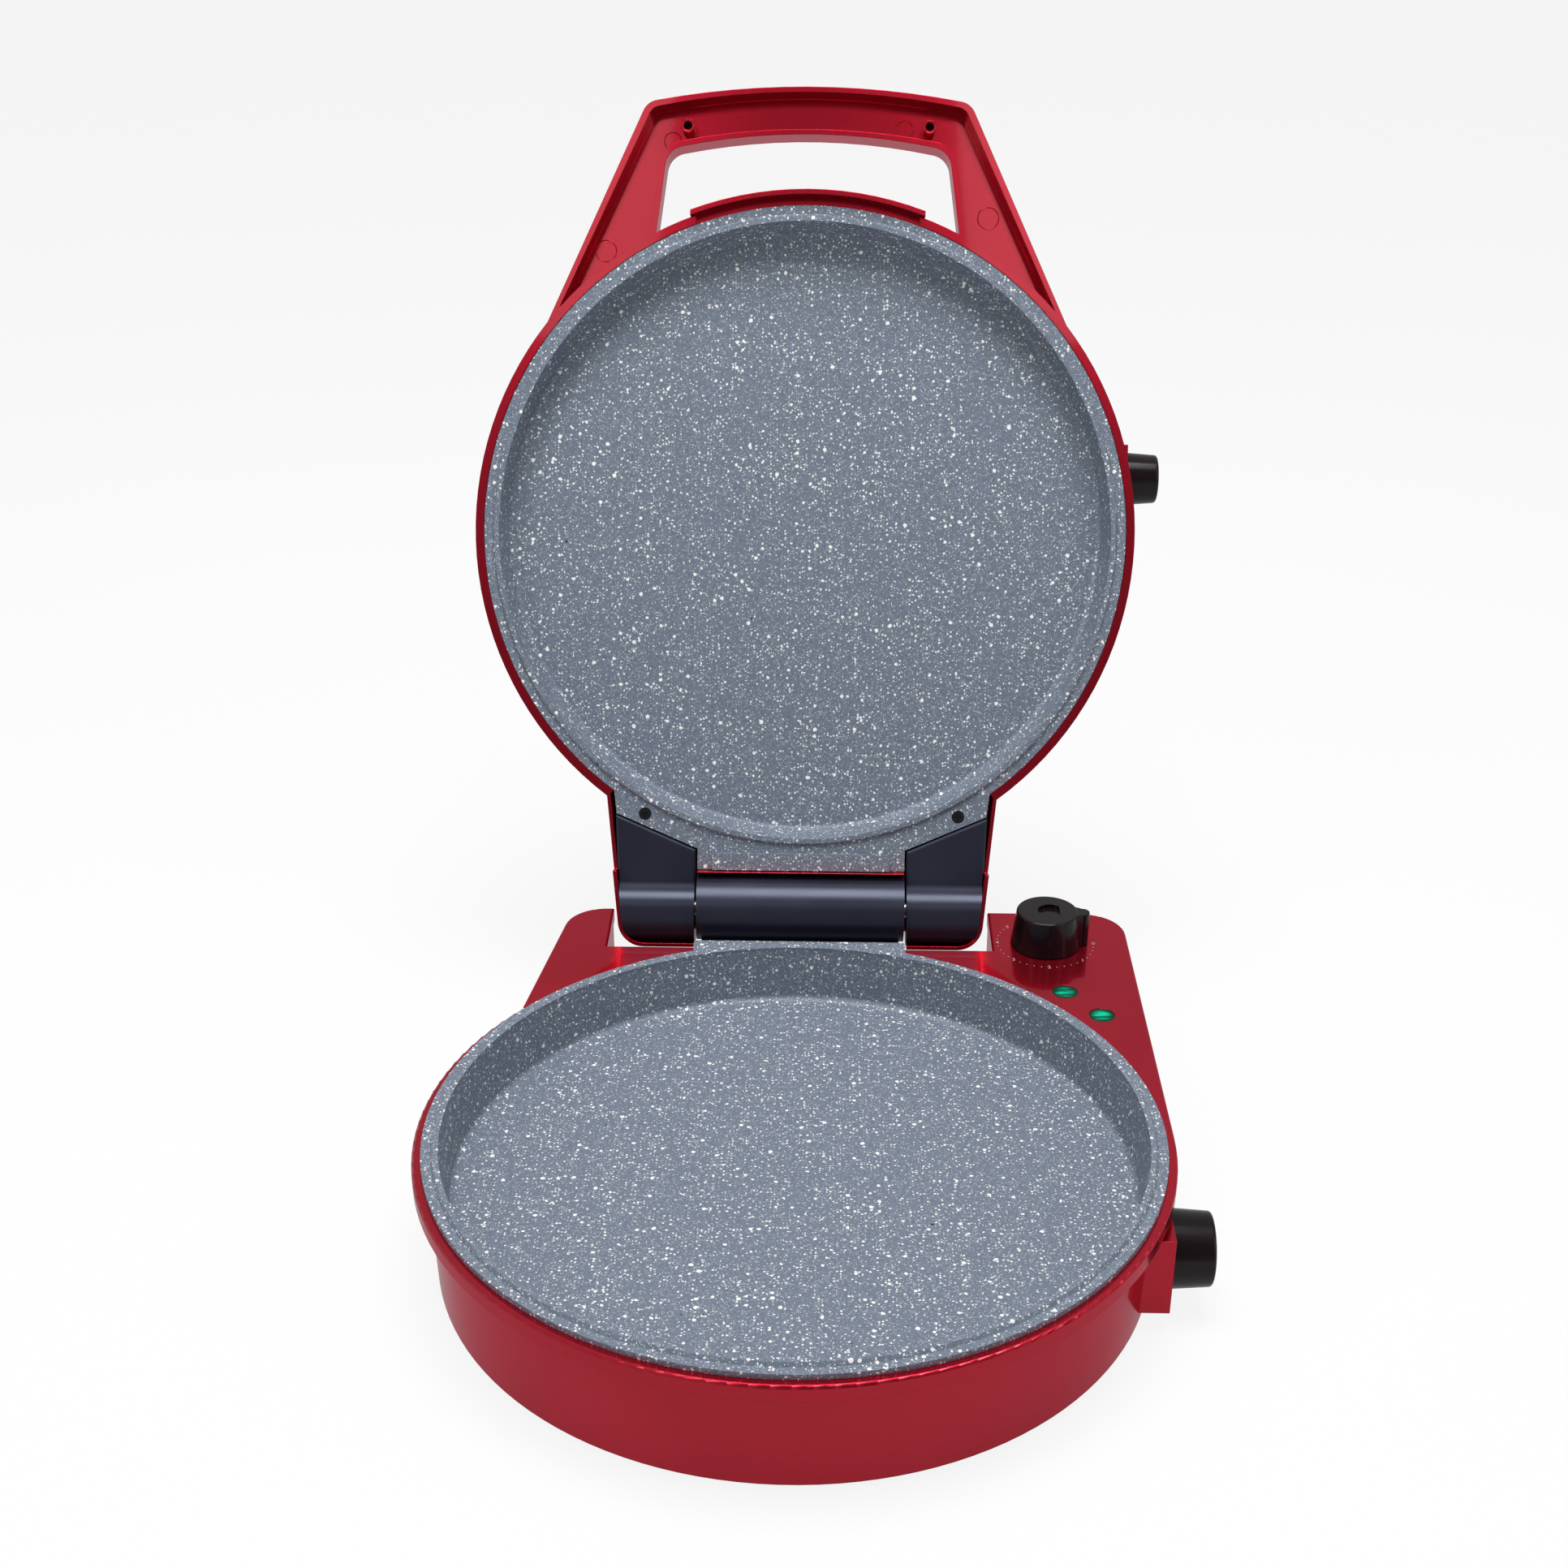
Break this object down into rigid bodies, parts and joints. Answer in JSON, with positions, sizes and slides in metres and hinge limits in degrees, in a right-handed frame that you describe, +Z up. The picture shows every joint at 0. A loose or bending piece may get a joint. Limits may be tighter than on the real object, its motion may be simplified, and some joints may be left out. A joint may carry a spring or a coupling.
{
  "type": "electric pizza maker",
  "caption": "Round countertop pizza cooker with a deep lower pan, a hinged heated lid that swings up past upright, a loop handle and a rotary heat control",
  "frame": {"origin": "the centre of the lower pan's flat floor, 35 mm above the table", "axes": "+X to the appliance's right, +Y to the back where the hinge is, +Z up"},
  "size_m": [0.3395, 0.513, 0.4411],
  "materials": {
    "red_plastic": "metallic red, glossy",
    "stone_coat": "cast aluminium under a satin grey non-stick stone coating with white specks",
    "black_plastic": "satin black",
    "black_gloss": "glossy black",
    "feet_rubber": "matt black rubber",
    "green_lens": "translucent green",
    "black_screws": "blackened steel",
    "steel": "bright steel",
    "heater_tube": "heat dulled steel tube",
    "reflector_sheet": "bright rolled sheet",
    "lamp_glass": "clear glass",
    "control_body": "cream heat resistant moulding"
  },
  "bodies": {
    "base": {"base_housing": "red_plastic", "bottom_cover": "black_plastic", "bottom_screws": "black_screws", "rubber_feet": "feet_rubber", "lower_pan": "stone_coat", "lower_element": "heater_tube", "lower_reflector": "reflector_sheet", "lower_reflector_screws": "steel", "lower_thermostat": "control_body", "lower_thermal_fuse": "steel", "power_lens": "green_lens", "ready_lens": "green_lens", "indicator_lamps": "lamp_glass", "lamp_holder": "black_plastic", "heat_control": "control_body", "cord_gland": "black_plastic", "terminal_block": "control_body", "hinge_bracket": "black_plastic", "hinge_cover": "black_plastic", "hinge_pins": "steel", "base_side_foot": "black_gloss"},
    "lid": {"lid_shell": "red_plastic", "handle_cap": "red_plastic", "handle_screws": "black_screws", "upper_plate": "stone_coat", "plate_screws": "black_screws", "upper_element": "heater_tube", "upper_reflector": "reflector_sheet", "upper_reflector_screws": "steel", "upper_thermostat": "control_body", "upper_thermal_fuse": "steel", "hinge_arm_left": "black_plastic", "hinge_arm_right": "black_plastic", "lid_side_foot": "black_gloss"},
    "knob": {"control_knob": "black_gloss", "control_shaft": "steel"}
  },
  "joints": [
    {"name": "lid_hinge", "type": "hinge", "parent": "base", "child": "lid", "pos_m": [0, 0.187, 0.0305], "axis": [1, 0, 0], "range_deg": [0, 111]},
    {"name": "knob_turn", "type": "hinge", "parent": "base", "child": "knob", "pos_m": [0.1223, 0.1669, 0.03], "axis": [0, 0, -1], "range_deg": [0, 220]}
  ]
}
